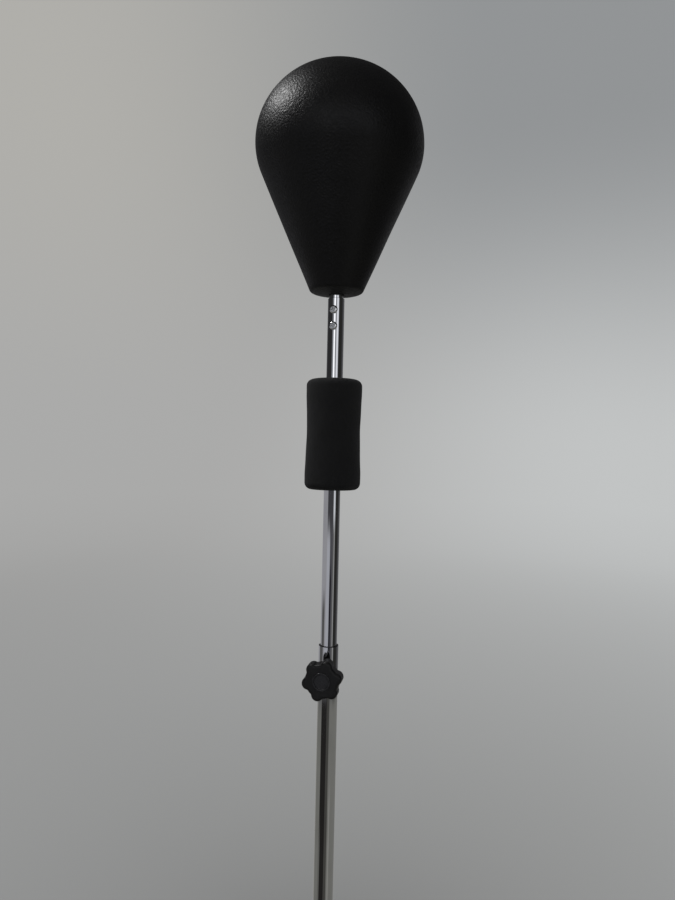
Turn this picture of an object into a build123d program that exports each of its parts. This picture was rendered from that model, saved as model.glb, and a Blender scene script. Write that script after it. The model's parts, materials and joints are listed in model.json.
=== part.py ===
from build123d import *
from math import atan2, cos, degrees, radians, sin, tan
import os

# A free-standing punch ball: a weighted round base, a telescopic chromed pole with a clamp
# knob, a coil spring under a foam sleeve, and a tear-drop ball that swings on the spring.
# Millimetres. The origin is on the floor under the pole, +Z is up, and the clamp knob and
# the stem screws face -Y, the screws a little towards -X.

os.makedirs("parts", exist_ok=True)

# ---- Driving dimensions ----

# Heights along the pole, from the floor up
foot_height = 6.0
base_height = 144.0
outer_tube_top = 623.6
mid_tube_exposed = 236.4
sleeve_length = 166.5
head_tube_exposed = 122.5
stem_exposed = 5.0

# Tubes
outer_tube_radius = 15.0
mid_tube_radius = 12.5
stem_radius = 11.0
tube_wall = 1.5
slide_gap = 0.06
seat_gap = 0.05
entry_chamfer = 1.0
tube_end_round = 0.4
mid_tube_inserted = 250.0
stem_inserted = 60.0

# Ball
ball_radius = 127.7
ball_belly_radius = 96.5
ball_top_height = 116.5
ball_drop = 220.0
ball_flank_angle = 23.65
ball_bottom_bulge = 5.5
ball_corner_round = 2.5
skin_thickness = 2.5
foam_thickness = 25.0
hub_radius = 24.0
hub_height = 69.0
hub_inset = 6.0
hub_fit = 0.1
plate_overhang = 6.0
plate_thickness = 4.0
stem_hole_depth = 20.0

# Spring and sleeve
wire_radius = 2.75
coil_radius = 19.75
coil_pitch = 7.0
seat_flange_radius = 24.5
seat_flange = 5.0
seat_spigot = 25.0
seat_shank = 40.0
seat_hole_radius = 6.0
seat_inset = 1.0
spigot_chamfer = 2.0
sleeve_end_radius = 42.2
sleeve_waist_radius = 40.8
sleeve_end_round = 10.0
sleeve_end_inset = 26.0
sleeve_bore_radius = 24.8

# Clamp knob
knob_drop = 40.9
knob_start = 27.0
knob_thickness = 20.0
knob_lobes = 6
knob_lobe_angle = 13.0
knob_core_radius = 25.2
lobe_radius = 9.0
lobe_centre = 21.4
knob_back_round = 4.0
knob_front_round = 3.0
knob_web_round = 4.0
knob_hub_radius = 11.0
knob_hub_length = 2.0
knob_cap_radius = 13.6
knob_cap_seat = 3.0
knob_cap_rise = 1.2
knob_cap_rim = 2.6
knob_cap_dish = 1.8
knob_cap_edge_round = 0.9
stud_radius = 4.0
pad_radius = 3.9
pad_length = 4.4
boss_radius = 8.0
boss_end = 24.0
working_gap = 0.1

# Base
base_radius = 220.0
base_wall = 3.0
base_bore_gap = 0.2
shelf_height = 86.0
heel_round = 14.0
shoulder_round = 30.0
turret_foot_radius = 112.0
turret_foot_round = 16.0
turret_top_radius = 58.0
turret_top_round = 8.0
web_bottom = 46.0
web_top = 58.0
recess_radius = 24.0
scoop_count = 6
scoop_radius = 60.0
scoop_depth = 10.0
scoop_start = 138.0
scoop_edge_round = 3.0
foot_count = 6
foot_radius = 15.0
foot_edge_round = 1.5
foot_circle = 190.0
sand_level = 72.0
sand_gap = 0.5
collar_radius = 28.0
collar_height = 12.0
collar_round = 8.0

# Bolt through the base
bolt_radius = 5.0
bolt_gap = 0.5
bolt_length = 50.0
bolt_head_height = 6.4
bolt_head_across = 17.0
washer_radius = 20.0
washer_thickness = 3.0
plug_flange = 3.0
plug_length = 38.0

# Filler neck and cap
neck_centre = 150.0
neck_radius = 17.0
neck_bore = 14.0
neck_height = 18.0
neck_flange_radius = 27.0
neck_flange = 4.0
seal_thickness = 1.5
cap_radius = 23.0
cap_clearance = 0.4
cap_lift = 5.0
cap_roof = 3.0
cap_dome = 2.0
cap_ribs = 30
cap_rib_radius = 0.9
cap_grip = (5.0, 30.0)
cap_grip_height = 4.0

# Screws through the head tube and the stem
screw_drops = (18.0, 42.5)
screw_bearing = 5.0
screw_start = 6.0
screw_radius = 3.0
screw_head_radius = 6.1
screw_head_height = 3.2
screw_head_round = 2.0
screw_slot = (7.0, 1.5)
screw_slot_depth = 2.0
screw_slot_turn = 20.0

# Guide bush and the inner tube's end cap
bush_length = 22.0
bush_lip = 0.4
bush_lip_radius = 14.4
bush_split = 1.5
end_cap_flange = 4.0
end_cap_plug = 16.0
end_cap_hole = 8.5

# ---- Worked-out places ----

sleeve_bottom = outer_tube_top + mid_tube_exposed
sleeve_top = sleeve_bottom + sleeve_length
head_tube_top = sleeve_top + head_tube_exposed
ball_bottom = head_tube_top + stem_exposed
equator = ball_bottom + ball_bottom_bulge + ball_drop
lower_seat = sleeve_bottom + seat_inset
upper_seat = sleeve_top - seat_inset
knob_height = outer_tube_top - knob_drop
mid_tube_bottom = outer_tube_top - mid_tube_inserted
hub_bottom = ball_bottom + hub_inset
hub_top = hub_bottom + hub_height
shelf = foot_height + shelf_height
turret_top = foot_height + base_height
bush_radius = outer_tube_radius - tube_wall - slide_gap
bush_bore = mid_tube_radius + slide_gap
base_bore = outer_tube_radius + base_bore_gap
neck_top = shelf + neck_height
cap_bottom = shelf + cap_lift
cap_inside_top = neck_top + seal_thickness + 2 * working_gap
tube_hole_radius = pad_radius + 0.3
spigot_radius = coil_radius - wire_radius - working_gap
coil_bottom = lower_seat + seat_flange
coil_top = upper_seat - seat_flange
coil_height = coil_top - coil_bottom - 2 * wire_radius
sleeve_middle = (sleeve_bottom + sleeve_top) / 2
tube_inside_radius = mid_tube_radius - tube_wall - seat_gap
pad_start = mid_tube_radius + working_gap
stud_start = pad_start + pad_length + working_gap
knob_front = knob_start + knob_thickness
stud_end = knob_front - knob_cap_seat - 1
screw_heights = [head_tube_top - drop for drop in screw_drops]
on_its_foot = (Align.CENTER, Align.CENTER, Align.MIN)


def front_plane(distance, height, bearing=0):
    """A plane a distance in front of the pole's axis: it faces -Y, or a bearing towards -X."""
    aside, ahead = sin(radians(bearing)), cos(radians(bearing))
    return Plane(
        origin=(-distance * aside, -distance * ahead, height),
        x_dir=(ahead, -aside, 0),
        z_dir=(-aside, -ahead, 0),
    )


# ---- Base ----


def base_form(inset):
    """The base's outer form, drawn in on every side by an inset."""
    floor = foot_height + inset
    rim = base_radius - inset
    shelf_level = shelf - inset
    with BuildPart() as form:
        with BuildSketch(Plane.XZ):
            with BuildLine():
                Polyline(
                    (base_bore + inset, floor),
                    (rim, floor),
                    (rim, shelf_level),
                    (turret_foot_radius - inset / 2, shelf_level),
                    (turret_top_radius - inset, turret_top - inset),
                    (base_bore + inset, turret_top - inset),
                    close=True,
                )
            make_face()
            corners = form_corners(rim, shelf_level, inset)
            for corner, size in corners:
                fillet(vertices().sort_by_distance(corner)[0], size)
        revolve(axis=Axis.Z)
        scoop_length = base_radius - scoop_start
        scoop_tilt = degrees(atan2(scoop_depth, scoop_length))
        for step in range(scoop_count):
            turn = 360 / scoop_count * (step + 0.5)
            with Locations(Location((0, 0, shelf + scoop_radius - scoop_depth), (0, 0, turn))):
                with Locations(Location((base_radius, 0, 0), (0, 90 + scoop_tilt, 0))):
                    Cylinder(scoop_radius + inset, 2 * scoop_length, mode=Mode.SUBTRACT)
        if inset == 0:
            scoop_edges = form.edges().filter_by(GeomType.BSPLINE)
            fillet(scoop_edges, scoop_edge_round)
    return form.part


def form_corners(rim, shelf_level, inset):
    """The base outline's rounded corners and their radii: convex ones shrink, concave ones grow."""
    return (
        ((rim, foot_height + inset), heel_round - inset),
        ((rim, shelf_level), shoulder_round - inset),
        ((turret_foot_radius - inset / 2, shelf_level), turret_foot_round + inset),
        ((turret_top_radius - inset, turret_top - inset), turret_top_round - inset),
    )


def hollow_form(inset):
    """The base's inside, which stops short of the solid hub that holds the tube and its bolt."""
    with BuildPart() as hollow:
        add(base_form(inset))
        with Locations((0, 0, foot_height)):
            Cylinder(
                recess_radius + inset,
                web_top - foot_height + inset,
                align=on_its_foot,
                mode=Mode.SUBTRACT,
            )
    return hollow.part


with BuildPart() as base_shell:
    add(base_form(0))
    with Locations((neck_centre, 0, shelf)):
        Cylinder(neck_flange_radius, neck_flange, align=on_its_foot)
        Cylinder(neck_radius, neck_height, align=on_its_foot)
    with Locations((0, 0, web_bottom)):
        Cylinder(base_bore + 1, web_top - web_bottom, align=on_its_foot)
    add(hollow_form(base_wall), mode=Mode.SUBTRACT)
    with Locations((neck_centre, 0, neck_top)):
        Hole(neck_bore, depth=neck_height + 2 * base_wall)
    with Locations((0, 0, foot_height)):
        Cylinder(
            recess_radius, web_bottom - foot_height, align=on_its_foot, mode=Mode.SUBTRACT
        )
        Cylinder(bolt_radius + bolt_gap, base_height, align=on_its_foot, mode=Mode.SUBTRACT)
base_shell.part.label = "base_shell"
export_step(base_shell.part, "parts/base_shell.step")

with BuildPart() as sand_fill:
    add(hollow_form(base_wall + sand_gap))
    split(bisect_by=Plane.XY.offset(sand_level), keep=Keep.BOTTOM)
sand_fill.part.label = "sand_fill"
export_step(sand_fill.part, "parts/sand_fill.step")

with BuildPart() as rubber_feet:
    with BuildSketch():
        with PolarLocations(foot_circle, foot_count):
            Circle(foot_radius)
    extrude(amount=foot_height)
    fillet(rubber_feet.edges().group_by(Axis.Z)[0], foot_edge_round)
rubber_feet.part.label = "rubber_feet"
export_step(rubber_feet.part, "parts/rubber_feet.step")

with BuildPart() as base_collar:
    with BuildSketch(Plane.XY.offset(turret_top)):
        Circle(collar_radius)
        Circle(outer_tube_radius + seat_gap, mode=Mode.SUBTRACT)
    extrude(amount=collar_height)
    fillet(base_collar.edges().group_by(Axis.Z)[-1].sort_by(SortBy.RADIUS)[-1], collar_round)
base_collar.part.label = "base_collar"
export_step(base_collar.part, "parts/base_collar.step")

with BuildPart() as tube_foot_plug:
    with BuildSketch(Plane.XY.offset(web_top)):
        Circle(outer_tube_radius)
    extrude(amount=plug_flange)
    with BuildSketch(Plane.XY.offset(web_top)):
        Circle(outer_tube_radius - tube_wall - seat_gap)
    extrude(amount=plug_length)
    chamfer(tube_foot_plug.edges().group_by(Axis.Z)[-1], entry_chamfer)
    with Locations((0, 0, web_top + plug_length)):
        Hole(bolt_radius + seat_gap)
tube_foot_plug.part.label = "tube_foot_plug"
export_step(tube_foot_plug.part, "parts/tube_foot_plug.step")

with BuildPart() as base_washer:
    with BuildSketch(Plane.XY.offset(web_bottom - washer_thickness)):
        Circle(washer_radius)
        Circle(bolt_radius + bolt_gap, mode=Mode.SUBTRACT)
    extrude(amount=washer_thickness)
base_washer.part.label = "base_washer"
export_step(base_washer.part, "parts/base_washer.step")

with BuildPart() as base_bolt:
    with BuildSketch(Plane.XY.offset(web_bottom - washer_thickness - bolt_head_height)):
        RegularPolygon(bolt_head_across / 2, 6, major_radius=False)
    extrude(amount=bolt_head_height)
    with BuildSketch(Plane.XY.offset(web_bottom - washer_thickness)):
        Circle(bolt_radius)
    extrude(amount=bolt_length)
    chamfer(base_bolt.edges().group_by(Axis.Z)[-1], entry_chamfer)
base_bolt.part.label = "base_bolt"
export_step(base_bolt.part, "parts/base_bolt.step")

# ---- Filler cap and its seal ----

with BuildPart() as filler_seal:
    with BuildSketch(Plane.XY.offset(neck_top + working_gap)):
        with Locations((neck_centre, 0)):
            Circle(neck_radius)
            Circle(neck_bore, mode=Mode.SUBTRACT)
    extrude(amount=seal_thickness)
filler_seal.part.label = "filler_seal"
export_step(filler_seal.part, "parts/filler_seal.step")

with BuildPart() as filler_cap:
    with BuildSketch(Plane.XY.offset(cap_bottom)):
        with Locations((neck_centre, 0)):
            Circle(cap_radius)
            with PolarLocations(cap_radius, cap_ribs):
                Circle(cap_rib_radius)
    extrude(amount=cap_inside_top + cap_roof - cap_bottom)
    with BuildSketch(Plane.XY.offset(cap_bottom)):
        with Locations((neck_centre, 0)):
            Circle(neck_radius + cap_clearance)
    extrude(amount=cap_inside_top - cap_bottom, mode=Mode.SUBTRACT)
    with BuildSketch(Plane.XY.offset(cap_inside_top + cap_roof)):
        with Locations((neck_centre, 0)):
            Circle(cap_radius - cap_dome)
    extrude(amount=cap_dome, taper=30)
    with BuildSketch(Plane.XY.offset(cap_inside_top + cap_roof + cap_dome)):
        with Locations((neck_centre, 0)):
            Rectangle(*cap_grip)
    extrude(amount=cap_grip_height, taper=8)
filler_cap.part.label = "filler_cap"
export_step(filler_cap.part, "parts/filler_cap.step")

# ---- Pole ----

with BuildPart() as outer_tube:
    with BuildSketch(Plane.XY.offset(web_top + plug_flange)):
        Circle(outer_tube_radius)
        Circle(outer_tube_radius - tube_wall, mode=Mode.SUBTRACT)
    extrude(amount=outer_tube_top - web_top - plug_flange)
    with BuildSketch(front_plane(0, knob_height)):
        Circle(tube_hole_radius)
    extrude(amount=2 * outer_tube_radius, mode=Mode.SUBTRACT)
outer_tube.part.label = "outer_tube"
export_step(outer_tube.part, "parts/outer_tube.step")

with BuildPart() as lock_boss:
    with BuildSketch(front_plane(0, knob_height)):
        Circle(boss_radius)
        Circle(stud_radius + slide_gap, mode=Mode.SUBTRACT)
    extrude(amount=boss_end)
    with BuildSketch(Plane.XY.offset(knob_height - 2 * boss_radius)):
        Circle(outer_tube_radius - working_gap)
    extrude(amount=4 * boss_radius, mode=Mode.SUBTRACT)
lock_boss.part.label = "lock_boss"
export_step(lock_boss.part, "parts/lock_boss.step")

with BuildPart() as guide_bush:
    with BuildSketch(Plane.XY.offset(outer_tube_top - bush_length)):
        Circle(bush_radius)
    extrude(amount=bush_length)
    with BuildSketch(Plane.XY.offset(outer_tube_top + seat_gap)):
        Circle(bush_lip_radius)
    extrude(amount=bush_lip)
    with BuildSketch(Plane.XY.offset(outer_tube_top)):
        Circle(bush_radius)
    extrude(amount=bush_lip)
    with Locations((0, 0, outer_tube_top + 2 * bush_lip)):
        Hole(bush_bore)
    with Locations((0, outer_tube_radius, outer_tube_top)):
        Box(bush_split, outer_tube_radius, 3 * bush_length, mode=Mode.SUBTRACT)
guide_bush.part.label = "guide_bush"
export_step(guide_bush.part, "parts/guide_bush.step")

with BuildPart() as mid_tube:
    with BuildSketch(Plane.XY.offset(mid_tube_bottom)):
        Circle(mid_tube_radius)
        Circle(mid_tube_radius - tube_wall, mode=Mode.SUBTRACT)
    extrude(amount=lower_seat - mid_tube_bottom)
mid_tube.part.label = "mid_tube"
export_step(mid_tube.part, "parts/mid_tube.step")

with BuildPart() as mid_tube_end_cap:
    with BuildSketch(Plane.XY.offset(mid_tube_bottom - end_cap_flange)):
        Circle(bush_radius)
    extrude(amount=end_cap_flange)
    with BuildSketch(Plane.XY.offset(mid_tube_bottom)):
        Circle(tube_inside_radius)
    extrude(amount=end_cap_plug)
    chamfer(mid_tube_end_cap.edges().group_by(Axis.Z)[-1], entry_chamfer)
    with Locations((0, 0, mid_tube_bottom + end_cap_plug)):
        Hole(end_cap_hole, depth=end_cap_plug + end_cap_flange / 4)
mid_tube_end_cap.part.label = "mid_tube_end_cap"
export_step(mid_tube_end_cap.part, "parts/mid_tube_end_cap.step")

# ---- Spring, its seats and the foam sleeve ----

with BuildPart() as lower_spring_seat:
    with BuildSketch(Plane.XY.offset(lower_seat)):
        Circle(seat_flange_radius)
    extrude(amount=seat_flange)
    with BuildSketch(Plane.XY.offset(coil_bottom)):
        Circle(spigot_radius)
    extrude(amount=seat_spigot)
    with BuildSketch(Plane.XY.offset(lower_seat)):
        Circle(tube_inside_radius)
    extrude(amount=-seat_shank)
    chamfer(lower_spring_seat.edges().group_by(Axis.Z)[-1], spigot_chamfer)
    with Locations((0, 0, coil_bottom + seat_spigot)):
        Hole(seat_hole_radius)
lower_spring_seat.part.label = "lower_spring_seat"
export_step(lower_spring_seat.part, "parts/lower_spring_seat.step")

with BuildPart() as upper_spring_seat:
    with BuildSketch(Plane.XY.offset(upper_seat)):
        Circle(seat_flange_radius)
    extrude(amount=-seat_flange)
    with BuildSketch(Plane.XY.offset(coil_top)):
        Circle(spigot_radius)
    extrude(amount=-seat_spigot)
    with BuildSketch(Plane.XY.offset(upper_seat)):
        Circle(stem_radius)
    extrude(amount=seat_shank)
    chamfer(upper_spring_seat.edges().group_by(Axis.Z)[0], spigot_chamfer)
    with Locations((0, 0, upper_seat + seat_shank)):
        Hole(seat_hole_radius)
upper_spring_seat.part.label = "upper_spring_seat"
export_step(upper_spring_seat.part, "parts/upper_spring_seat.step")

with BuildPart() as spring:
    with BuildLine():
        coil = Helix(coil_pitch, coil_height, coil_radius, center=(0, 0, coil_bottom + wire_radius))
    with BuildSketch(Plane(origin=coil @ 0, z_dir=coil % 0)):
        Circle(wire_radius)
    sweep(path=coil, is_frenet=True)
spring.part.label = "spring"
export_step(spring.part, "parts/spring.step")

with BuildPart() as foam_sleeve:
    with BuildSketch(Plane.XZ):
        with BuildLine():
            lower_end = (sleeve_end_radius, sleeve_bottom + sleeve_end_inset)
            upper_end = (sleeve_end_radius, sleeve_top - sleeve_end_inset)
            ThreePointArc(lower_end, (sleeve_waist_radius, sleeve_middle), upper_end)
            Polyline(
                upper_end,
                (sleeve_end_radius, sleeve_top),
                (sleeve_bore_radius, sleeve_top),
                (sleeve_bore_radius, sleeve_bottom),
                (sleeve_end_radius, sleeve_bottom),
                lower_end,
            )
        make_face()
        fillet(vertices().sort_by_distance((sleeve_end_radius, sleeve_top))[0], sleeve_end_round)
        fillet(vertices().sort_by_distance((sleeve_end_radius, sleeve_bottom))[0], sleeve_end_round)
    revolve(axis=Axis.Z)
foam_sleeve.part.label = "foam_sleeve"
export_step(foam_sleeve.part, "parts/foam_sleeve.step")

# ---- Head tube, stem and screws ----

screw_hole = screw_radius + seat_gap
screw_face = mid_tube_radius + screw_head_height

with BuildPart() as head_tube:
    with BuildSketch(Plane.XY.offset(upper_seat)):
        Circle(mid_tube_radius)
        Circle(stem_radius + seat_gap, mode=Mode.SUBTRACT)
    extrude(amount=head_tube_top - upper_seat)
    fillet(head_tube.edges().group_by(Axis.Z)[-1].sort_by(SortBy.RADIUS)[-1], tube_end_round)
    for height in screw_heights:
        with BuildSketch(front_plane(0, height, screw_bearing)):
            Circle(screw_hole)
        extrude(amount=2 * mid_tube_radius, mode=Mode.SUBTRACT)
head_tube.part.label = "head_tube"
export_step(head_tube.part, "parts/head_tube.step")

with BuildPart() as stem_tube:
    with BuildSketch(Plane.XY.offset(head_tube_top - stem_inserted)):
        Circle(stem_radius)
        Circle(stem_radius - tube_wall, mode=Mode.SUBTRACT)
    extrude(amount=hub_top - head_tube_top + stem_inserted)
    for height in screw_heights:
        with BuildSketch(front_plane(0, height, screw_bearing)):
            Circle(screw_hole)
        extrude(amount=2 * stem_radius, mode=Mode.SUBTRACT)
stem_tube.part.label = "stem_tube"
export_step(stem_tube.part, "parts/stem_tube.step")

with BuildPart() as stem_screws:
    for height in screw_heights:
        with BuildSketch(front_plane(screw_start, height, screw_bearing)):
            Circle(screw_radius)
        extrude(amount=mid_tube_radius - screw_start)
        with BuildSketch(front_plane(mid_tube_radius, height, screw_bearing)):
            Circle(screw_head_radius)
        extrude(amount=screw_head_height)
        rims = stem_screws.edges().filter_by(GeomType.CIRCLE)
        rims = rims.filter_by(lambda edge: abs(edge.center().Z - height) < screw_radius)
        fillet(rims.sort_by(Axis.Y)[0], screw_head_round)
        with BuildSketch(front_plane(screw_face, height, screw_bearing)):
            for turn in (0, 90):
                Rectangle(*screw_slot, rotation=screw_slot_turn + turn)
        extrude(amount=-screw_slot_depth, taper=12, mode=Mode.SUBTRACT)
stem_screws.part.label = "stem_screws"
export_step(stem_screws.part, "parts/stem_screws.step")

# ---- Ball ----


def ball_section(inset):
    """Half of the ball's upright section, drawn in on every side by an inset."""
    radius = ball_radius - inset
    top_height = ball_top_height - inset
    belly_radius = ball_belly_radius - inset
    belly_centre = ball_radius - ball_belly_radius
    angle = radians(ball_flank_angle)
    flank_start = (belly_centre + belly_radius * cos(angle), equator - belly_radius * sin(angle))
    corner_height = equator - ball_drop + inset
    corner_radius = flank_start[0] - (flank_start[1] - corner_height) * tan(angle)
    corner = (corner_radius, corner_height)
    lowest = (0, corner_height - ball_bottom_bulge)
    with BuildSketch() as section:
        with BuildLine():
            Line(lowest, (0, equator + top_height))
            crown_middle = (radius * cos(radians(45)), equator + top_height * sin(radians(45)))
            Spline(
                (radius, equator),
                crown_middle,
                (0, equator + top_height),
                tangents=((0, 1), (-1, 0)),
            )
            CenterArc((belly_centre, equator), belly_radius, -ball_flank_angle, ball_flank_angle)
            Line(flank_start, corner)
            TangentArc(lowest, corner, tangent=(1, 0))
        make_face()
        fillet(vertices().sort_by_distance(corner)[0], ball_corner_round)
    return section.sketch


with BuildPart() as ball_skin:
    with BuildSketch(Plane.XZ):
        add(ball_section(0))
        add(ball_section(skin_thickness), mode=Mode.SUBTRACT)
        with Locations((0, ball_bottom)):
            Rectangle(2 * (stem_radius + hub_fit), stem_hole_depth, mode=Mode.SUBTRACT)
    revolve(axis=Axis.Z)
ball_skin.part.label = "ball_skin"
export_step(ball_skin.part, "parts/ball_skin.step")

with BuildPart() as ball_foam:
    with BuildSketch(Plane.XZ):
        add(ball_section(skin_thickness + hub_fit))
        add(ball_section(skin_thickness + foam_thickness), mode=Mode.SUBTRACT)
        with Locations((0, hub_top)):
            Rectangle(2 * (hub_radius + hub_fit), 2.3 * hub_height, mode=Mode.SUBTRACT)
    revolve(axis=Axis.Z)
ball_foam.part.label = "ball_foam"
export_step(ball_foam.part, "parts/ball_foam.step")

with BuildPart() as ball_hub:
    with BuildSketch(Plane.XY.offset(hub_bottom)):
        Circle(hub_radius)
        Circle(stem_radius + seat_gap, mode=Mode.SUBTRACT)
    extrude(amount=hub_height)
ball_hub.part.label = "ball_hub"
export_step(ball_hub.part, "parts/ball_hub.step")

with BuildPart() as stem_plate:
    with BuildSketch(Plane.XY.offset(hub_top)):
        Circle(hub_radius + plate_overhang)
    extrude(amount=plate_thickness)
stem_plate.part.label = "stem_plate"
export_step(stem_plate.part, "parts/stem_plate.step")

# ---- Clamp knob ----

with BuildPart() as pressure_pad:
    with BuildSketch(front_plane(pad_start, knob_height)):
        Circle(pad_radius)
    extrude(amount=pad_length)
    chamfer(pressure_pad.edges().group_by(Axis.Y)[-1], entry_chamfer / 2)
pressure_pad.part.label = "pressure_pad"
export_step(pressure_pad.part, "parts/pressure_pad.step")

with BuildPart() as knob_stud:
    with BuildSketch(front_plane(stud_start, knob_height)):
        Circle(stud_radius)
    extrude(amount=stud_end - stud_start)
    chamfer(knob_stud.edges().group_by(Axis.Y)[-1], entry_chamfer / 2)
knob_stud.part.label = "knob_stud"
export_step(knob_stud.part, "parts/knob_stud.step")

with BuildPart() as knob_body:
    with BuildSketch(front_plane(knob_start, knob_height)):
        Circle(knob_core_radius)
        with PolarLocations(lobe_centre, knob_lobes, start_angle=knob_lobe_angle):
            Circle(lobe_radius)
        fillet(vertices(), knob_web_round)
    extrude(amount=knob_thickness)
    fillet(knob_body.edges().group_by(Axis.Y)[0], knob_back_round)
    fillet(knob_body.edges().group_by(Axis.Y)[-1], knob_front_round)
    with BuildSketch(front_plane(knob_start, knob_height)):
        Circle(knob_hub_radius)
    extrude(amount=-knob_hub_length)
    with BuildSketch(front_plane(knob_front, knob_height)):
        Circle(knob_cap_radius + working_gap)
    extrude(amount=-knob_cap_seat, mode=Mode.SUBTRACT)
    with BuildSketch(front_plane(boss_end, knob_height)):
        Circle(stud_radius + seat_gap)
    extrude(amount=stud_end + working_gap - boss_end, mode=Mode.SUBTRACT)
knob_body.part.label = "knob_body"
export_step(knob_body.part, "parts/knob_body.step")

with BuildPart() as knob_cap:
    with BuildSketch(front_plane(knob_front - knob_cap_seat + working_gap, knob_height)):
        Circle(knob_cap_radius)
    extrude(amount=knob_cap_seat - working_gap + knob_cap_rise)
    with BuildSketch(front_plane(knob_front + knob_cap_rise, knob_height)):
        Circle(knob_cap_radius - knob_cap_rim)
    extrude(amount=-knob_cap_dish, taper=20, mode=Mode.SUBTRACT)
    fillet(knob_cap.edges().group_by(Axis.Y)[0], knob_cap_edge_round)
knob_cap.part.label = "knob_cap"
export_step(knob_cap.part, "parts/knob_cap.step")
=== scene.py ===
import json
import math

import bpy
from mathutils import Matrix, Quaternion, Vector, noise


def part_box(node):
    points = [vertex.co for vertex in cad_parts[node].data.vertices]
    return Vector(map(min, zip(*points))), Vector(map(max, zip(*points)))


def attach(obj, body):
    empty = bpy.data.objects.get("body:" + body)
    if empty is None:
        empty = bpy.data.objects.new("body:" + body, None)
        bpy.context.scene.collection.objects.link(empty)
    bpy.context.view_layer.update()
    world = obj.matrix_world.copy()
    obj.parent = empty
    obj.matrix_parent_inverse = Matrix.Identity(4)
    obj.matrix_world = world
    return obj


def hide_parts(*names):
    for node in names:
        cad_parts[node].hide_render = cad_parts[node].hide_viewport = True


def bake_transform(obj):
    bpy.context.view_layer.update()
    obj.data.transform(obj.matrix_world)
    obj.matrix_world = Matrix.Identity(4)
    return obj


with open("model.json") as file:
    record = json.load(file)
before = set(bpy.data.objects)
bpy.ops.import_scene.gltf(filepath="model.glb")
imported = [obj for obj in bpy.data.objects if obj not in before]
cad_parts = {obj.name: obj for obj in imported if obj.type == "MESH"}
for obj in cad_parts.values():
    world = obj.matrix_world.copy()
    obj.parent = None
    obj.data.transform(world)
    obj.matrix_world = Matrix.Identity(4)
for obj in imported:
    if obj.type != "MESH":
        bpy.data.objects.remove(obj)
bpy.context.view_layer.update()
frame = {"nodes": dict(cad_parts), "record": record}

scene = bpy.context.scene
scene.view_settings.view_transform = "Standard"

# A free-standing punch ball: chromed telescopic pole, clamp knob, foam-covered spring and a
# moulded tear-drop ball on a round black base. Metres; the clamp knob faces -Y.


# ---- Camera ----

EYE_HEIGHT = 0.920
EYE_DISTANCE = 1.003
EYE_AZIMUTH = math.radians(11.5)
EYE_SIDE = 0.0069
EYE_ROLL = math.radians(1.29)
LENS = 26.4


def make_camera():
    """A level phone camera a metre from the pole, at the height of the foam sleeve."""
    data = bpy.data.cameras.new("camera")
    data.sensor_width = 36
    data.lens = LENS
    data.clip_start = 0.05
    data.clip_end = 60
    camera = bpy.data.objects.new("camera", data)
    scene.collection.objects.link(camera)
    back = Vector((math.sin(EYE_AZIMUTH), -math.cos(EYE_AZIMUTH), 0))
    right = Vector((math.cos(EYE_AZIMUTH), math.sin(EYE_AZIMUTH), 0))
    camera.location = back * EYE_DISTANCE + right * EYE_SIDE + Vector((0, 0, EYE_HEIGHT))
    camera.rotation_mode = "QUATERNION"
    level = (-back).to_track_quat("-Z", "Y")
    camera.rotation_quaternion = level @ Quaternion((0, 0, 1), EYE_ROLL)
    scene.camera = camera


# ---- Node helpers ----

EVEN = (1, 1, 1)


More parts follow.
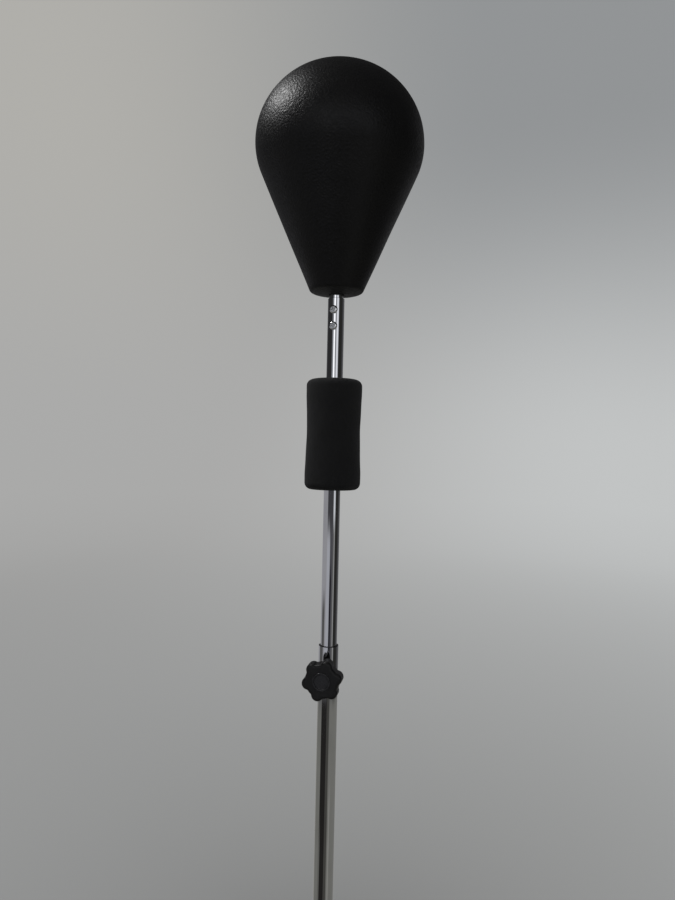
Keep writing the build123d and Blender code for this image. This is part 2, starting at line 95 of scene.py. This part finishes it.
class Nodes:
    """A node tree, with short ways to add nodes and links."""

    def __init__(self, tree):
        self.tree = tree

    def add(self, kind, inputs=None, **settings):
        """A new node; an input is either a plain value or another node's output."""
        node = self.tree.nodes.new(kind)
        for key, value in settings.items():
            setattr(node, key, value)
        for key, value in (inputs or {}).items():
            if isinstance(value, bpy.types.NodeSocket):
                self.tree.links.new(value, node.inputs[key])
            else:
                node.inputs[key].default_value = value
        return node

    def feed(self, shader, **outputs):
        """Links outputs to a shader's sockets, which are named with _ for each space."""
        for key, output in outputs.items():
            self.tree.links.new(output, shader.inputs[key.replace("_", " ")])

    def position(self, stretch=EVEN):
        """Object coordinates in metres, stretched along the axes."""
        where = self.add("ShaderNodeTexCoord").outputs["Object"]
        return self.add("ShaderNodeMapping", {"Vector": where, "Scale": stretch}).outputs[0]

    def split(self, vector):
        """The X, Y and Z outputs of a vector."""
        return self.add("ShaderNodeSeparateXYZ", {0: vector}).outputs

    def noise(self, scale, detail, roughness=0.55, stretch=EVEN):
        inputs = {
            "Vector": self.position(stretch),
            "Scale": scale,
            "Detail": detail,
            "Roughness": roughness,
        }
        return self.add("ShaderNodeTexNoise", inputs).outputs["Fac"]

    def cells(self, scale, feature):
        inputs = {"Vector": self.position(), "Scale": scale, "Randomness": 1.0}
        return self.add("ShaderNodeTexVoronoi", inputs, feature=feature).outputs["Distance"]

    def remap(self, value, span, results=(0, 1), kind="LINEAR"):
        """Carries a span of values over to a span of results, and stops at both ends."""
        inputs = {
            "Value": value,
            "From Min": span[0],
            "From Max": span[1],
            "To Min": results[0],
            "To Max": results[1],
        }
        node = self.add("ShaderNodeMapRange", inputs, interpolation_type=kind)
        return node.outputs["Result"]

    def math(self, operation, first, second=0.0):
        node = self.add("ShaderNodeMath", {0: first, 1: second}, operation=operation)
        return node.outputs[0]

    def blend_colour(self, factor, first, second):
        """From the first colour at nought to the second at one."""
        node = self.add("ShaderNodeMix", data_type="RGBA")
        self.tree.links.new(factor, node.inputs["Factor"])
        for key, value in (("A", first), ("B", second)):
            socket = next(s for s in node.inputs if s.name == key and s.type == "RGBA")
            if isinstance(value, bpy.types.NodeSocket):
                self.tree.links.new(value, socket)
            else:
                socket.default_value = (*value, 1)
        return next(s for s in node.outputs if s.type == "RGBA")

    def bump(self, height, strength, distance, normal=None):
        inputs = {"Height": height, "Strength": strength, "Distance": distance}
        if normal is not None:
            inputs["Normal"] = normal
        return self.add("ShaderNodeBump", inputs).outputs["Normal"]


def new_material(name, **surface):
    """A material with one Principled shader; its uniform values go on the shader's sockets."""
    material = bpy.data.materials.new(name)
    material.use_nodes = True
    tree = material.node_tree
    shader = tree.nodes["Principled BSDF"]
    for key, value in surface.items():
        shader.inputs[key.replace("_", " ")].default_value = value
    return material, Nodes(tree), shader


# ---- Materials ----

BLACK = (0.012, 0.012, 0.013)

# Moulded, foamed or painted: colour, roughness, scale of the grain, its depth, specular level
MOULDED = {
    "ball_foam": ((0.55, 0.5, 0.4), 0.95, 500, 0.0006, 0.5),
    "seat_steel": (BLACK, 0.4, 300, 0.0002, 0.5),
    "hub_plastic": ((0.03, 0.03, 0.03), 0.5, 600, 0.0002, 0.5),
    "bush_plastic": (BLACK, 0.45, 900, 0.0001, 0.5),
    "knob_plastic": ((0.006, 0.006, 0.006), 0.4, 1300, 0.0002, 0.4),
    "knob_cap_plastic": (BLACK, 0.16, 400, 0.00003, 0.5),
    "pad_plastic": ((0.7, 0.7, 0.66), 0.5, 700, 0.0001, 0.5),
    "base_plastic": ((0.013, 0.013, 0.0135), 0.5, 700, 0.0004, 0.5),
    "collar_plastic": (BLACK, 0.42, 900, 0.0002, 0.5),
    "cap_plastic": ((0.014, 0.014, 0.014), 0.42, 900, 0.0002, 0.5),
    "foot_rubber": ((0.02, 0.02, 0.02), 0.75, 500, 0.0004, 0.3),
    "seal_rubber": ((0.03, 0.03, 0.03), 0.7, 500, 0.0003, 0.3),
}

# Plated or bare steel: colour, roughness, how much that varies, scale of the grain
BRIGHT_METAL = {
    "screw_zinc": ((0.88, 0.88, 0.88), 0.1, 0.04, 120),
    "spring_steel": ((0.2, 0.2, 0.21), 0.38, 0.1, 90),
    "fastener_steel": ((0.6, 0.6, 0.62), 0.32, 0.08, 110),
}

BALL_BOTTOM_EDGE = (0.004, 0.014)   # heights above the ball's lowest point
BALL_BOTTOM_DULLNESS = 0.22         # how much rougher the domed bottom is


def ball_material():
    """Self-skinned black polyurethane: satin and pebbled, with rubbed patches, duller below."""
    material, nodes, shader = new_material("ball_skin", Specular_IOR_Level=0.30)
    dark, light = (0.0030, 0.0030, 0.0032), (0.0055, 0.0053, 0.0053)
    tone = nodes.noise(scale=9, detail=4)
    rubbed = nodes.remap(nodes.noise(scale=16, detail=5), (0.3, 0.7), (0.37, 0.47))
    speckled = nodes.remap(nodes.noise(scale=240, detail=3), (0.35, 0.65), (-0.07, 0.08))
    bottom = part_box("ball_skin")[0].z
    edge = [bottom + above for above in BALL_BOTTOM_EDGE]
    height = nodes.split(nodes.position())["Z"]
    dull = nodes.remap(height, edge, (BALL_BOTTOM_DULLNESS, 0.0), "SMOOTHSTEP")
    pebbles = nodes.cells(scale=400, feature="SMOOTH_F1")
    creases = nodes.noise(scale=370, detail=3, roughness=0.6)
    waves = nodes.noise(scale=22, detail=2)
    relief = nodes.bump(pebbles, strength=0.7, distance=0.0007)
    relief = nodes.bump(creases, strength=0.6, distance=0.0005, normal=relief)
    relief = nodes.bump(waves, strength=0.25, distance=0.0015, normal=relief)
    nodes.feed(
        shader,
        Base_Color=nodes.blend_colour(tone, dark, light),
        Roughness=nodes.math("ADD", nodes.math("ADD", rubbed, speckled), dull),
        Normal=relief,
    )
    return material


def foam_material():
    """Matt black closed-cell foam with fine open pores on its cut skin."""
    material, nodes, shader = new_material(
        "sleeve_foam",
        Specular_IOR_Level=0.25,
        Sheen_Weight=0.15,
        Sheen_Roughness=0.6,
        Sheen_Tint=(0.35, 0.35, 0.36, 1),
    )
    dark, light = (0.0040, 0.0040, 0.0043), (0.0085, 0.0085, 0.0088)
    tone = nodes.noise(scale=60, detail=5)
    pores = nodes.cells(scale=900, feature="F1")
    grain = nodes.noise(scale=260, detail=5)
    waves = nodes.noise(scale=35, detail=3)
    relief = nodes.bump(pores, strength=0.6, distance=0.0004)
    relief = nodes.bump(grain, strength=0.5, distance=0.0006, normal=relief)
    relief = nodes.bump(waves, strength=0.4, distance=0.0015, normal=relief)
    nodes.feed(
        shader,
        Base_Color=nodes.blend_colour(tone, dark, light),
        Roughness=nodes.remap(tone, (0.3, 0.7), (0.8, 0.98)),
        Normal=relief,
    )
    return material


def chrome_material():
    """Bright chrome on drawn tube: faint draw lines along Z, smudges and a slight waviness."""
    material, nodes, shader = new_material("chrome_tube", Metallic=1.0)
    clean, dull = (0.72, 0.72, 0.73), (0.62, 0.62, 0.63)
    smudge = nodes.noise(scale=28, detail=5, roughness=0.6, stretch=(1, 1, 0.35))
    lines = nodes.noise(scale=900, detail=3, roughness=0.6, stretch=(1, 1, 0.01))
    waves = nodes.noise(scale=40, detail=2, roughness=0.5, stretch=(1, 1, 0.25))
    smudged = nodes.remap(smudge, (0.45, 0.75))
    smudge_rough = nodes.remap(smudge, (0.45, 0.8), (0.015, 0.07))
    line_rough = nodes.remap(lines, (0.35, 0.7), (0.0, 0.02))
    relief = nodes.bump(lines, strength=0.10, distance=0.00006)
    relief = nodes.bump(waves, strength=0.10, distance=0.0006, normal=relief)
    nodes.feed(
        shader,
        Base_Color=nodes.blend_colour(smudged, clean, dull),
        Roughness=nodes.math("ADD", smudge_rough, line_rough),
        Normal=relief,
    )
    return material


def bright_metal_material(name, colour, roughness, spread, scale):
    """A fine grain, with colour and gloss that vary a little."""
    material, nodes, shader = new_material(name, Metallic=1.0)
    darker = tuple(0.72 * part for part in colour)
    tone = nodes.noise(scale, detail=5)
    grain = nodes.noise(6 * scale, detail=4)
    nodes.feed(
        shader,
        Base_Color=nodes.blend_colour(tone, darker, colour),
        Roughness=nodes.remap(tone, (0.3, 0.7), (roughness - spread, roughness + spread)),
        Normal=nodes.bump(grain, strength=0.15, distance=0.0001),
    )
    return material


def moulded_material(name, colour, roughness, grain_scale, grain_depth, specular):
    """A fine texture from the mould, with paler, duller scuffs."""
    material, nodes, shader = new_material(name, Specular_IOR_Level=specular)
    paler = tuple(min(1, 1.9 * part + 0.003) for part in colour)
    duller = min(1, roughness + 0.16)
    scuffs = nodes.remap(nodes.noise(scale=38, detail=7, roughness=0.7), (0.56, 0.72))
    grain = nodes.noise(grain_scale, detail=4, roughness=0.6)
    nodes.feed(
        shader,
        Base_Color=nodes.blend_colour(scuffs, colour, paler),
        Roughness=nodes.remap(scuffs, (0, 1), (roughness, duller)),
        Normal=nodes.bump(grain, strength=0.5, distance=grain_depth),
    )
    return material


def sand_material():
    """Dry sand with pale and dark grains."""
    material, nodes, shader = new_material("ballast_sand", Roughness=0.95)
    dark, light = (0.42, 0.33, 0.22), (0.78, 0.68, 0.5)
    grains = nodes.noise(scale=900, detail=3)
    nodes.feed(
        shader,
        Base_Color=nodes.blend_colour(grains, dark, light),
        Normal=nodes.bump(grains, strength=0.8, distance=0.0008),
    )
    return material


def make_materials():
    """One material for each of the record's slots."""
    found = {
        "moulded_ball_skin": ball_material(),
        "sleeve_foam": foam_material(),
        "chrome_tube": chrome_material(),
        "ballast_sand": sand_material(),
    }
    for slot, finish in MOULDED.items():
        found[slot] = moulded_material(slot, *finish)
    for slot, finish in BRIGHT_METAL.items():
        found[slot] = bright_metal_material(slot, *finish)
    return found


def paint_cad_nodes(materials):
    """Every CAD node takes the material of its slot."""
    slots = {s["node"]: s["material_slot"] for s in frame["record"]["subparts"]}
    for name, piece in frame["nodes"].items():
        for index in range(len(piece.material_slots)):
            piece.material_slots[index].material = materials[slots[name]]


# ---- Mesh helpers ----

SHARP_ANGLE = 40
ON_AXIS = 1e-6    # a point nearer to the Z axis than this is on it


def add_mesh(name, points, faces, material):
    """A smooth-shaded piece with sharp edges where it turns by more than SHARP_ANGLE."""
    data = bpy.data.meshes.new(name)
    data.from_pydata(points, [], faces)
    data.validate()
    for polygon in data.polygons:
        polygon.use_smooth = True
    data.set_sharp_from_angle(angle=math.radians(SHARP_ANGLE))
    data.materials.append(material)
    piece = bpy.data.objects.new(name, data)
    scene.collection.objects.link(piece)
    return piece


def lathe(name, profile, steps, material, shape=None, closed=False):
    """Turns a profile of (radius, height) points about Z; shape may then move each point.

    A profile point on the axis becomes one point. A closed profile's last point joins its first.
    """
    points, rings, faces = [], [], []
    for radius, height in profile:
        if radius < ON_AXIS:
            rings.append([len(points)])
            points.append(Vector((0, 0, height)))
            continue
        ring = []
        for step in range(steps):
            angle = 2 * math.pi * step / steps
            ring.append(len(points))
            point = Vector((radius * math.cos(angle), radius * math.sin(angle), height))
            points.append(shape(point) if shape else point)
        rings.append(ring)
    pairs = list(zip(rings, rings[1:]))
    if closed:
        pairs.append((rings[-1], rings[0]))
    for lower, upper in pairs:
        for step in range(steps):
            after = (step + 1) % steps
            if len(lower) == 1:
                faces.append((lower[0], upper[after], upper[step]))
            elif len(upper) == 1:
                faces.append((lower[step], lower[after], upper[0]))
            else:
                faces.append((lower[step], lower[after], upper[after], upper[step]))
    return add_mesh(name, points, faces, material)


def arc(centre, radii, start, stop, count):
    """Points of an elliptical arc, angles in degrees, both ends included."""
    found = []
    for step in range(count + 1):
        angle = math.radians(start + (stop - start) * step / count)
        across = centre[0] + radii[0] * math.cos(angle)
        up = centre[1] + radii[1] * math.sin(angle)
        found.append((across, up))
    return found


def straight(start, stop, count):
    """Points of a straight run, the two ends left out."""
    return [
        tuple(a + (b - a) * step / count for a, b in zip(start, stop)) for step in range(1, count)
    ]


def uneven(amount, scale, seed):
    """A mover that pushes points in or out from the axis by a slow, seeded noise."""

    def move(point):
        push = amount * noise.noise(point * scale + Vector((seed, 2 * seed, 3 * seed)))
        out = Vector((point.x, point.y, 0))
        return point + out.normalized() * push if out.length > ON_AXIS else point

    return move


# ---- Ball ----

BALL_BELLY_RADIUS = 0.0965
BALL_TOP_HEIGHT = 0.1165
BALL_FLANK_ANGLE = 23.65
BALL_CORNER_ROUND = 0.0028
BALL_CORNER_STEPS = 8
BALL_BULGE = 0.0055
BALL_HOLE_GAP = 0.0002       # round the stem
BALL_DOME_START = 0.001      # the dome's clearance from the hole's wall
BALL_HOLE_EDGE = (           # distance out from that wall, height above the ball's lowest point
    (0, 0.010),
    (0, 0.003),
    (0.0004, 0.0012),
)
BALL_STEPS = 256


def ball_profile():
    """From the stem's hole across the domed bottom, up the flank and over the crown."""
    low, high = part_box("ball_skin")
    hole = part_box("stem_tube")[1].x + BALL_HOLE_GAP
    hole_edge = [(hole + out, low.z + up) for out, up in BALL_HOLE_EDGE]
    radius = high.x
    equator = high.z - BALL_TOP_HEIGHT
    corner_height = low.z + BALL_BULGE
    angle = math.radians(BALL_FLANK_ANGLE)
    belly_centre = Vector((radius - BALL_BELLY_RADIUS, equator))
    flank = belly_centre + BALL_BELLY_RADIUS * Vector((math.cos(angle), -math.sin(angle)))
    corner_radius = flank.x - (flank.y - corner_height) * math.tan(angle)
    corner = Vector((corner_radius, corner_height))
    dome_radius = (corner_radius**2 + BALL_BULGE**2) / (2 * BALL_BULGE)
    dome_edge = math.degrees(math.asin(corner_radius / dome_radius))
    dome = arc((0, low.z + dome_radius), (dome_radius,) * 2, -90, -90 + dome_edge, count=24)
    dome = [point for point in dome if point[0] > hole + BALL_DOME_START]
    along_dome = (Vector(dome[-4]) - corner).normalized()
    along_flank = (flank - corner).normalized()
    start = corner + along_dome * BALL_CORNER_ROUND
    stop = corner + along_flank * BALL_CORNER_ROUND
    dome = [point for point in dome if point[0] < start.x]
    rounded = []
    for step in range(BALL_CORNER_STEPS + 1):
        t = step / BALL_CORNER_STEPS
        point = start * (1 - t) ** 2 + corner * 2 * t * (1 - t) + stop * t**2
        rounded.append(tuple(point))
    side = straight(stop, flank, count=60)
    belly = arc(belly_centre, (BALL_BELLY_RADIUS,) * 2, -BALL_FLANK_ANGLE, 0, count=24)
    crown = arc((0, equator), (radius, BALL_TOP_HEIGHT), 0, 90, count=64)
    crown = crown[1:-1] + [(0, high.z)]
    return hole_edge + dome + rounded + side + belly + crown


def make_ball(materials):
    """The moulded skin, very slightly uneven."""
    skin = materials["moulded_ball_skin"]
    dents = uneven(amount=0.0005, scale=14, seed=3)
    ball = lathe("ball", ball_profile(), BALL_STEPS, skin, dents)
    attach(ball, "head")
    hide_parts("ball_skin")


# ---- Foam sleeve ----

SLEEVE_WAIST = 0.0408        # radius at mid height
SLEEVE_FULL_END = 0.026      # length at each end that has the full radius
SLEEVE_ROUND = 0.010
SLEEVE_BORE_GAP = 0.0003     # round the spring seats
SLEEVE_LIP = 0.0015          # rounding of the bore's mouth
SLEEVE_LIP_MIDDLE = 0.0004   # how far in the rounding's middle point is
SLEEVE_SWELL_STEPS = 24
SLEEVE_STEPS = 160


def sleeve_profile(bottom, top, seam, upper):
    """A closed outline of one half of the sleeve, from its seam to its rounded end."""
    end_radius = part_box("foam_sleeve")[1].x
    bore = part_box("lower_spring_seat")[1].x + SLEEVE_BORE_GAP
    sign = 1 if upper else -1
    end = top if upper else bottom
    swell_end = end - sign * SLEEVE_FULL_END
    outside = []
    for step in range(SLEEVE_SWELL_STEPS + 1):
        t = step / SLEEVE_SWELL_STEPS
        height = seam + (swell_end - seam) * t
        outside.append((SLEEVE_WAIST + (end_radius - SLEEVE_WAIST) * t * t, height))
    round_start = (end_radius, end - sign * SLEEVE_ROUND)
    outside += straight((end_radius, swell_end), round_start, count=5)
    centre = (end_radius - SLEEVE_ROUND, end - sign * SLEEVE_ROUND)
    outside += arc(centre, (SLEEVE_ROUND, sign * SLEEVE_ROUND), 0, 90, count=10)
    lip = [
        (bore + SLEEVE_LIP, end),
        (bore + SLEEVE_LIP_MIDDLE, end - sign * SLEEVE_LIP_MIDDLE),
        (bore, end - sign * SLEEVE_LIP),
    ]
    face = straight(outside[-1], lip[0], count=4)
    inside = straight(lip[-1], (bore, seam), count=16)
    profile = outside + face + lip + inside + [(bore, seam)]
    return profile if upper else profile[::-1]


def make_sleeve(materials):
    """Two halves that meet at mid height."""
    low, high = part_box("foam_sleeve")
    seam = (low.z + high.z) / 2
    foam = materials["sleeve_foam"]
    dents = uneven(amount=0.0009, scale=30, seed=5)
    for name, upper in (("sleeve_lower", False), ("sleeve_upper", True)):
        profile = sleeve_profile(low.z, high.z, seam, upper)
        half = lathe(name, profile, SLEEVE_STEPS, foam, dents, closed=True)
        if upper:
            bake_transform(half)
        else:
            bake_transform(half)
        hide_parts("foam_sleeve")


# ---- Spring ----

WIRE_RADIUS = 0.00275
COIL_PITCH = 0.007
STEPS_PER_TURN = 40
WIRE_SIDES = 12


def coil_mesh(name, start, stop, first, material):
    """A length of helical wire between two heights, with flat ends.

    It is a part of a coil that starts at the height called first.
    """
    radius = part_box("spring")[1].x - WIRE_RADIUS
    turns = (stop - start) / COIL_PITCH
    count = round(turns * STEPS_PER_TURN)
    points, faces = [], []
    for step in range(count + 1):
        height = start + (stop - start) * step / count
        angle = 2 * math.pi * (height - first) / COIL_PITCH
        out = Vector((math.cos(angle), math.sin(angle), 0))
        for side in range(WIRE_SIDES):
            turn = 2 * math.pi * side / WIRE_SIDES
            offset = out * math.cos(turn) + Vector((0, 0, math.sin(turn)))
            points.append(out * radius + Vector((0, 0, height)) + offset * WIRE_RADIUS)
    for step in range(count):
        for side in range(WIRE_SIDES):
            after = (side + 1) % WIRE_SIDES
            here, there = step * WIRE_SIDES, (step + 1) * WIRE_SIDES
            faces.append((here + side, here + after, there + after, there + side))
    faces.append(tuple(reversed(range(WIRE_SIDES))))
    faces.append(tuple(range(count * WIRE_SIDES, (count + 1) * WIRE_SIDES)))
    return add_mesh(name, points, faces, material)


def make_spring(materials):
    """The coil inside the sleeve, in two halves that meet where the sleeve's do."""
    low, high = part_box("spring")
    start, stop = low.z + WIRE_RADIUS, high.z - WIRE_RADIUS
    seam = sum(corner.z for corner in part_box("foam_sleeve")) / 2
    steel = materials["spring_steel"]
    lower = coil_mesh("spring_lower", start, seam, start, steel)
    upper = coil_mesh("spring_upper", seam, stop, start, steel)
    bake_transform(lower)
    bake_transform(upper)
    for half in (lower, upper):
        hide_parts("spring")


# ---- Stage and light ----

STAGE_RADIUS = 8.0
STAGE_STEPS = 128
COVE_RADIUS = 3.0
FLOOR_RINGS = (0.5, 1.0, 2.0, 3.5, STAGE_RADIUS - COVE_RADIUS)
# Colours the backdrop glows with, painted light and shade: dim near the pole, paler round it, and
# dimmer up on the right.
PAINTED_GLOW_NEAR = (0.165, 0.167, 0.166)
PAINTED_GLOW_LEFT = (0.385, 0.385, 0.380)
PAINTED_GLOW_RIGHT = (0.520, 0.532, 0.532)
PAINTED_GLOW_UPPER_LEFT = (0.410, 0.403, 0.380)
PAINTED_GLOW_UPPER_RIGHT = (0.262, 0.272, 0.279)


def stage_material():
    """Paper that glows with painted light and shade: dim near the pole, pale round it, and dimmer
    up on the right.
    """
    material, nodes, shader = new_material(
        "painted_glow_paper",
        Base_Color=(0.10, 0.10, 0.10, 1),
        Roughness=0.9,
        Specular_IOR_Level=0.1,
        Emission_Strength=1.0,
    )
    x, y, z = nodes.split(nodes.position())
    square = nodes.math("ADD", nodes.math("POWER", x, 2.0), nodes.math("POWER", y, 2.0))
    distance = nodes.math("SQRT", square)
    far = nodes.math("SQRT", nodes.remap(distance, (0.3, 6.5)))
    raised = nodes.remap(z, (0.8, 5.3), kind="SMOOTHSTEP")
    right = nodes.remap(x, (-3.0, 2.0), kind="SMOOTHSTEP")
    upper_right = nodes.remap(x, (-5.0, 0.5), kind="SMOOTHSTEP")
    wall = nodes.blend_colour(right, PAINTED_GLOW_LEFT, PAINTED_GLOW_RIGHT)
    upper = nodes.blend_colour(upper_right, PAINTED_GLOW_UPPER_LEFT, PAINTED_GLOW_UPPER_RIGHT)
    paper = nodes.blend_colour(far, PAINTED_GLOW_NEAR, wall)
    # The emission is painted light and shade; it stands in for how the room's lamps fall on the
    # backdrop.
    nodes.feed(shader, Emission_Color=nodes.blend_colour(raised, paper, upper))
    return material


def make_stage():
    """A floor that curves up into a dome, so that no edge or horizon shows."""
    flat = [(0, 0)] + [(ring, 0) for ring in FLOOR_RINGS]
    centre = (STAGE_RADIUS - COVE_RADIUS, COVE_RADIUS)
    cove = arc(centre, (COVE_RADIUS, COVE_RADIUS), -90, 0, count=24)[1:]
    dome = arc((0, COVE_RADIUS), (STAGE_RADIUS, STAGE_RADIUS), 0, 90, count=32)[1:-1]
    profile = flat + cove + dome + [(0, COVE_RADIUS + STAGE_RADIUS)]
    stage = lathe("stage", profile, STAGE_STEPS, stage_material())
    stage.visible_glossy = False
    stage.visible_shadow = False
    stage.visible_diffuse = False


def area_light(name, place, target, size, power, mirrored=True):
    """A rectangular lamp that shines from its place at its target, unseen by the camera."""
    data = bpy.data.lights.new(name, "AREA")
    data.shape = "RECTANGLE"
    data.size, data.size_y = size
    data.energy = power
    light = bpy.data.objects.new(name, data)
    light.location = place
    aim = Vector(target) - Vector(place)
    light.rotation_mode = "QUATERNION"
    light.rotation_quaternion = aim.to_track_quat("-Z", "Y")
    light.visible_camera = False
    light.visible_glossy = mirrored
    scene.collection.objects.link(light)


def make_lights():
    """A lamp above the ball on its left, and two washes that nothing mirrors."""
    area_light(
        "ceiling_lamp",
        place=(-1.06, -0.11, 2.40),
        target=(0, 0, 1.4),
        size=(0.64, 0.40),
        power=11.5,
    )
    area_light(
        "front_fill",
        place=(1.6, -1.9, 2.4),
        target=(0, 0, 1.0),
        size=(1.0, 1.0),
        power=14,
        mirrored=False,
    )
    area_light(
        "room_wash",
        place=(0, -1.2, 3.6),
        target=(0, 4.5, 0.8),
        size=(2.6, 2.6),
        power=45,
        mirrored=False,
    )


# What the chrome mirrors. Each panel of the studio spans bearings in degrees from the front
# (-Y), positive towards +X, and heights as the sine of the angle above the eye, and has one
# soft-edged tone. Later panels stand in front of earlier ones.
PANEL_EDGE_BEARING = 3.5
PANEL_EDGE_HEIGHT = 0.022
PANELS = (
    # bearings,     heights,          tone
    ((-175, -4), (-0.35, -0.03), (0.34, 0.34, 0.36)),  # left wall
    ((-40, 6), (-0.35, -0.13), (0.42, 0.43, 0.47)),  # its lit end
    ((-106, -58), (-0.36, -0.22), (0.10, 0.10, 0.10)),  # a dark opening in it
    ((-40, 40), (-0.115, -0.03), (0.055, 0.055, 0.06)),  # the lamps' black frame
    ((2, 40), (-0.35, -0.11), (0.085, 0.085, 0.095)),  # front curtain
    ((6, 24), (-0.35, -0.18), (0.010, 0.010, 0.013)),  # its fold
    ((38, 70), (-0.35, -0.10), (0.13, 0.13, 0.13)),  # front right
    ((54, 65), (-0.33, -0.10), (0.34, 0.34, 0.34)),  # a pale edge in it
    ((-34, 54), (-0.03, 0.32), (0.26, 0.27, 0.29)),  # lamp housing
    ((-14, 8), (-0.03, 0.27), (1.40, 1.42, 1.46)),  # left lamp
    ((24, 50), (-0.03, 0.27), (0.85, 0.87, 0.92)),  # right lamp
    ((40, 66), (-0.11, -0.03), (0.70, 0.72, 0.76)),  # its lower corner
    ((69, 104), (-0.35, 0.40), (0.026, 0.026, 0.024)),  # dark gap on the right
    ((-178, -128), (-0.66, -0.34), (0.31, 0.31, 0.29)),  # the floor behind on the left
    ((-56, 10), (-0.66, -0.34), (0.020, 0.019, 0.018)),  # dark cloth on the floor
    ((-64, -46), (-0.66, -0.50), (0.14, 0.14, 0.13)),  # the floor before its left end
    ((10, 37), (-0.66, -0.34), (0.065, 0.064, 0.058)),  # the floor beside it
    ((52, 66), (-0.66, -0.46), (0.28, 0.28, 0.26)),  # a pale mat
)

# The room round the panels, whose tones change from the front to straight behind the pole
BEHIND_BEARINGS = (108, 178)
WALL_FRONT, WALL_BEHIND = (0.030, 0.030, 0.031), (0.18, 0.18, 0.187)
FLOOR_FRONT, FLOOR_BEHIND = (0.19, 0.19, 0.175), (0.20, 0.20, 0.19)
FLOOR_EDGE = (-0.36, -0.32)
CEILING_EDGE = (0.40, 0.60)
CEILING = (0.030, 0.030, 0.031)


def band(nodes, value, limits, edge):
    """One inside the limits, nought outside them, with soft edges."""
    low, high = limits
    rise = nodes.remap(value, (low - edge, low + edge), (0, 1), "SMOOTHSTEP")
    fall = nodes.remap(value, (high - edge, high + edge), (1, 0), "SMOOTHSTEP")
    return nodes.math("MULTIPLY", rise, fall)


def make_world():
    """A dim studio that is lighter behind the pole, with the panels standing round it."""
    world = bpy.data.worlds.new("studio")
    world.use_nodes = True
    scene.world = world
    nodes = Nodes(world.node_tree)
    x, y, height = nodes.split(nodes.add("ShaderNodeTexCoord").outputs["Generated"])
    front = nodes.math("MULTIPLY", y, -1.0)
    angle = nodes.math("ARCTAN2", x, front)
    bearing = nodes.math("MULTIPLY", angle, math.degrees(1))
    behind = nodes.remap(nodes.math("ABSOLUTE", bearing), BEHIND_BEARINGS)
    wall = nodes.blend_colour(behind, WALL_FRONT, WALL_BEHIND)
    floor = nodes.blend_colour(behind, FLOOR_FRONT, FLOOR_BEHIND)
    tone = nodes.blend_colour(nodes.remap(height, FLOOR_EDGE), floor, wall)
    for bearings, heights, colour in PANELS:
        across = band(nodes, bearing, bearings, PANEL_EDGE_BEARING)
        upright = band(nodes, height, heights, PANEL_EDGE_HEIGHT)
        tone = nodes.blend_colour(nodes.math("MULTIPLY", across, upright), tone, colour)
    tone = nodes.blend_colour(nodes.remap(height, CEILING_EDGE), tone, CEILING)
    nodes.feed(world.node_tree.nodes["Background"], Color=tone)


make_camera()
materials = make_materials()
paint_cad_nodes(materials)
make_ball(materials)
make_sleeve(materials)
make_spring(materials)
make_stage()
make_world()
make_lights()
